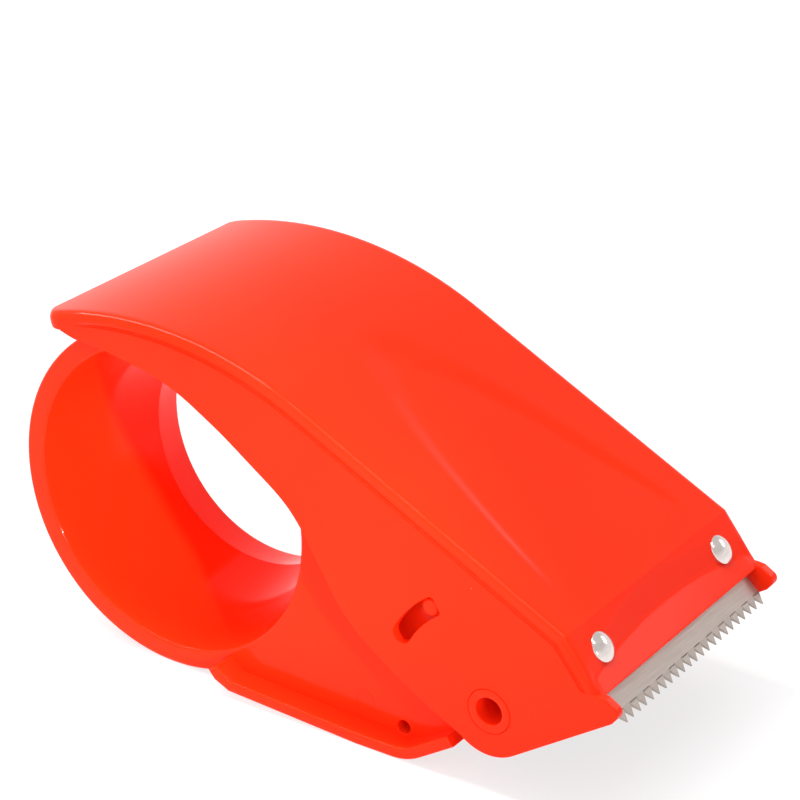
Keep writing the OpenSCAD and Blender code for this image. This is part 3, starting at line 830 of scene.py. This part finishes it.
# rivets: domed heads with a small skirt, shank and turned-over tail
rivetShape = {"headRadius": 3.25, "headHeight": 1.5, "skirt": 0.25, "skirtShare": 0.6, "brim": 0.03,
              "seat": 0.6, "sunk": 0.3, "shank": 1.6, "depth": 3.8,
              "tail": 2.5, "tailHeight": 1.2, "tailShare": 0.6, "tailEdge": 0.5,
              "u": 6.1, "gap": 49.3, "count": 2, "domeSteps": 10, "smoothDeg": 40}


def rivetProfile():
    s = rivetShape
    rise = s["headHeight"] - s["skirt"]
    domeRadius = (s["headRadius"] ** 2 + rise ** 2) / (2 * rise)
    reach = math.asin(s["headRadius"] / domeRadius)
    domeZ = s["headHeight"] - domeRadius
    n = s["domeSteps"]
    dome = [(domeRadius * math.sin(reach * k / n), domeZ + domeRadius * math.cos(reach * k / n))
            for k in range(1, n + 1)]
    end = -s["depth"] - s["tailHeight"]
    return [(0, s["headHeight"])] + dome + [
        (s["headRadius"] + s["brim"], s["skirt"] * s["skirtShare"]), (s["headRadius"], -s["seat"]),
        (s["shank"], -s["seat"]), (s["shank"], -s["depth"]), (s["tail"], -s["depth"]),
        (s["tail"], -s["depth"] - s["tailHeight"] * s["tailShare"]), (s["tail"] - s["tailEdge"], end),
        (0, end)]


def makeRivets():
    s = rivetShape
    rivets = newPiece("cover_rivets", turnedMesh("cover_rivets", rivetProfile(), steps=48, closed=False))
    row = {"Count": s["count"], "Step": (0, s["gap"] * mm, 0), "Turn": (0, 0, 0), "Flip": (0, 0, 0)}
    repeated(rivets, repeatTree(nickel), row)
    rivets.data.transform(facePlace(s["u"], -s["sunk"], -s["gap"] / 2))
    smoothOver(rivets, nickel, s["smoothDeg"])
    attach(rivets, "cover")
    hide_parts("rivet_near", "rivet_far")


# roller: a sleeve with moulded ribs along it
rollerShape = {"radius": 9.6, "bore": 8.0, "grooveFloor": 9.1, "endBand": 1.5, "endEdge": 0.3,
               "ribs": 14, "ribShare": 0.86, "ribSteps": 4, "ribEdge": 0.12, "ribIn": 0.1,
               "flatShare": 0.96, "edgeShare": 0.99, "smoothDeg": 38, "ribSmoothDeg": 30}


def sleeveProfile(length):
    s = rollerShape
    radius, edge, band, floor = s["radius"], s["endEdge"], s["endBand"], s["grooveFloor"]
    return [(s["bore"], 0), (s["bore"], length), (radius - edge, length), (radius, length - edge),
            (radius, length - band), (floor, length - band), (floor, band), (radius, band), (radius, edge),
            (radius - edge, 0)]


def ribMesh(length):
    # section as radius and angle, with lowered corners, run from band to band
    s = rollerShape
    wide = math.pi / s["ribs"] * s["ribShare"]
    root, steps = s["grooveFloor"] - s["ribIn"], s["ribSteps"]
    section = [(root, -wide)]
    for k in range(-steps, steps + 1):
        corner = abs(k) == steps
        lower = s["ribEdge"] if corner else 0
        section.append((s["radius"] - lower, wide * (k / steps) * s["edgeShare" if corner else "flatShare"]))
    section.append((root, wide))
    ends = (s["endBand"], length - s["endBand"])
    points = [(r * math.cos(a), r * math.sin(a), h) for h in ends for r, a in section]
    n = len(section)
    faces = [tuple(range(n)), tuple(range(n, 2 * n))]
    faces += [(i, (i + 1) % n, n + (i + 1) % n, n + i) for i in range(n)]
    return meshFrom("roller_ribs", points, faces)


def makeRoller():
    s = rollerShape
    low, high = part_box("roller_tube")
    y0, y1 = low.y / mm, high.y / mm
    length = y1 - y0
    farEnd = Matrix.Translation(Vector((pivot.x, y1, pivot.y)) * mm)
    toAxis = farEnd @ Matrix.Rotation(math.radians(90), 4, "X")
    sleeveMesh = turnedMesh("roller_sleeve", sleeveProfile(length), steps=112, closed=True)
    sleeve = newPiece("roller_sleeve", sleeveMesh)
    sleeve.data.transform(toAxis)
    smoothOver(sleeve, rubber, s["smoothDeg"])
    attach(sleeve, "roller")
    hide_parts("roller_tube")

    rib = newPiece("roller_ribs", ribMesh(length))
    row = {"Count": s["ribs"], "Step": (0, 0, 0), "Turn": (0, 0, 2 * math.pi / s["ribs"]), "Flip": (0, 0, 0)}
    repeated(rib, repeatTree(rubber), row)
    rib.data.transform(toAxis)
    smoothOver(rib, rubber, s["ribSmoothDeg"])
    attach(rib, "roller")


makeCover()
print("cover made")
makeFrame()
makeSmallPieces()
print("frame and small pieces made")
makeBlade()
makeRivets()
makeRoller()
print("blade, rivets and roller made")


# camera at the photograph's angle, fitted to the part's edges: place in millimetres, lens and sensor too
cameraSet = {"place": (329.33, -427.89, 258.63), "forward": (-0.5091, 0.7542, -0.4147), "lens": 121.5,
             "sensor": 36, "nearest": 10}


def makeCamera():
    lens = bpy.data.cameras.new("camera")
    lens.lens = cameraSet["lens"]
    lens.sensor_width = cameraSet["sensor"]
    lens.clip_start = cameraSet["nearest"] * mm
    camera = newPiece("camera", lens)
    camera.rotation_mode = "QUATERNION"
    camera.location = Vector(cameraSet["place"]) * mm
    camera.rotation_quaternion = Vector(cameraSet["forward"]).to_track_quat("-Z", "Y")
    scene.camera = camera


# plain studio in metres and watts: white floor that keeps the shadow, soft lamps as place, size and power,
# a narrow spot into the finger funnel, and a sky that lights from the left and above
studio = {
    "floorHalf": 20, "floorMm": -39.6, "floor": "#fafafa", "floorGlow": 0.75, "aim": (0.04, 0, 0),
    "lamps": {"overhead": ((-0.4, -0.1, 0.9), (1.0, 0.16), 9.5),
              "fill": ((0.0, -1.0, 0.35), (0.8, 0.8), 1.8),
              "backRight": ((0.52, 0.82, 0.58), (0.5, 0.26), 1.05),
              "edge": ((0.27, -0.1, 0.9), (0.35, 0.06), 1.3)},
    "snoot": {"place": (0.64, -0.34, 0.24), "target": (-0.012, -0.02, -0.012), "deg": 8, "blend": 0.7,
              "soft": 0.02, "power": 24},
    "shownSky": {"From Min": 0.2, "From Max": 0.6, "To Min": 1.0, "To Max": 0.7},
    "skyWay": (-0.55, -0.15, 0.8),
    "softSky": {"From Min": -0.2, "From Max": 0.8, "To Min": 0.05, "To Max": 1.15}}


def seenOnly(tree):
    # 1 for rays that show the background: straight to the camera, mirrored or through glass
    rays = addNode(tree, "ShaderNodeLightPath").outputs
    mirrored = addNode(tree, "ShaderNodeMath", {"operation": "MAXIMUM"},
                       {0: rays["Is Glossy Ray"], 1: rays["Is Transmission Ray"]})
    seen = addNode(tree, "ShaderNodeMath", {"operation": "MAXIMUM"},
                   {0: rays["Is Camera Ray"], 1: mirrored.outputs[0]})
    return seen.outputs[0]


def makeFloor():
    half = studio["floorHalf"]
    corners = [(-half, -half, 0), (half, -half, 0), (half, half, 0), (-half, half, 0)]
    floorMesh = bpy.data.meshes.new("floor")
    floorMesh.from_pydata(corners, [], [(0, 1, 2, 3)])
    floorMesh.transform(Matrix.Translation((0, 0, studio["floorMm"] * mm)))
    floor = newPiece("floor", floorMesh)
    paper = bpy.data.materials.new("paper_sweep_white")
    paper.use_nodes = True
    tree = paper.node_tree
    tree.nodes.clear()
    matt = addNode(tree, "ShaderNodeBsdfDiffuse", inputs={"Color": linearColour(studio["floor"])})
    glow = addNode(tree, "ShaderNodeEmission", inputs={"Color": (1, 1, 1, 1), "Strength": 1.0})
    share = addNode(tree, "ShaderNodeMath", {"operation": "MULTIPLY"},
                    {0: seenOnly(tree), 1: studio["floorGlow"]})
    mixed = addNode(tree, "ShaderNodeMixShader",
                    inputs={0: share.outputs[0], 1: matt.outputs[0], 2: glow.outputs[0]})
    addNode(tree, "ShaderNodeOutputMaterial", inputs={"Surface": mixed.outputs[0]})
    floorMesh.materials.append(paper)


def makeSky():
    # rays that show the background see it white, darker high up, and the rest get the soft light
    world = bpy.data.worlds.new("studio")
    scene.world = world
    world.use_nodes = True
    tree = world.node_tree
    tree.nodes.clear()
    way = addNode(tree, "ShaderNodeTexCoord").outputs["Generated"]
    height = addNode(tree, "ShaderNodeVectorMath", {"operation": "DOT_PRODUCT"}, {0: way, 1: (0, 0, 1)})
    shown = addNode(tree, "ShaderNodeMapRange", {"interpolation_type": "SMOOTHSTEP"},
                    {"Value": height.outputs["Value"], **studio["shownSky"]})
    side = addNode(tree, "ShaderNodeVectorMath", {"operation": "DOT_PRODUCT"}, {0: way, 1: studio["skyWay"]})
    soft = addNode(tree, "ShaderNodeMapRange", inputs={"Value": side.outputs["Value"], **studio["softSky"]})
    level = addNode(tree, "ShaderNodeMix", {"data_type": "FLOAT"},
                    {0: seenOnly(tree), 2: soft.outputs[0], 3: shown.outputs[0]})
    room = addNode(tree, "ShaderNodeBackground", inputs={"Color": (1, 1, 1, 1), "Strength": level.outputs[0]})
    addNode(tree, "ShaderNodeOutputWorld", inputs={"Surface": room.outputs[0]})


def makeLamps():
    for name, (place, sizes, power) in studio["lamps"].items():
        lamp = bpy.data.lights.new(name, "AREA")
        lamp.shape = "RECTANGLE"
        lamp.size, lamp.size_y = sizes
        lamp.energy = power
        box = newPiece(name, lamp)
        box.location = place
        back = (Vector(place) - Vector(studio["aim"])).normalized()
        up = back.cross(Vector((1, 0, 0))).normalized()
        box.rotation_euler = Matrix((up.cross(back), up, back)).transposed().to_euler()

    snoot = studio["snoot"]
    beam = bpy.data.lights.new("snoot", "SPOT")
    beam.energy = snoot["power"]
    beam.spot_size = math.radians(snoot["deg"])
    beam.spot_blend = snoot["blend"]
    beam.shadow_soft_size = snoot["soft"]
    can = newPiece("snoot", beam)
    can.location = snoot["place"]
    can.rotation_mode = "QUATERNION"
    can.rotation_quaternion = (Vector(snoot["target"]) - Vector(snoot["place"])).to_track_quat("-Z", "Y")


scene.view_settings.view_transform = "Standard"
makeCamera()
makeFloor()
makeSky()
makeLamps()
print("camera and studio made")
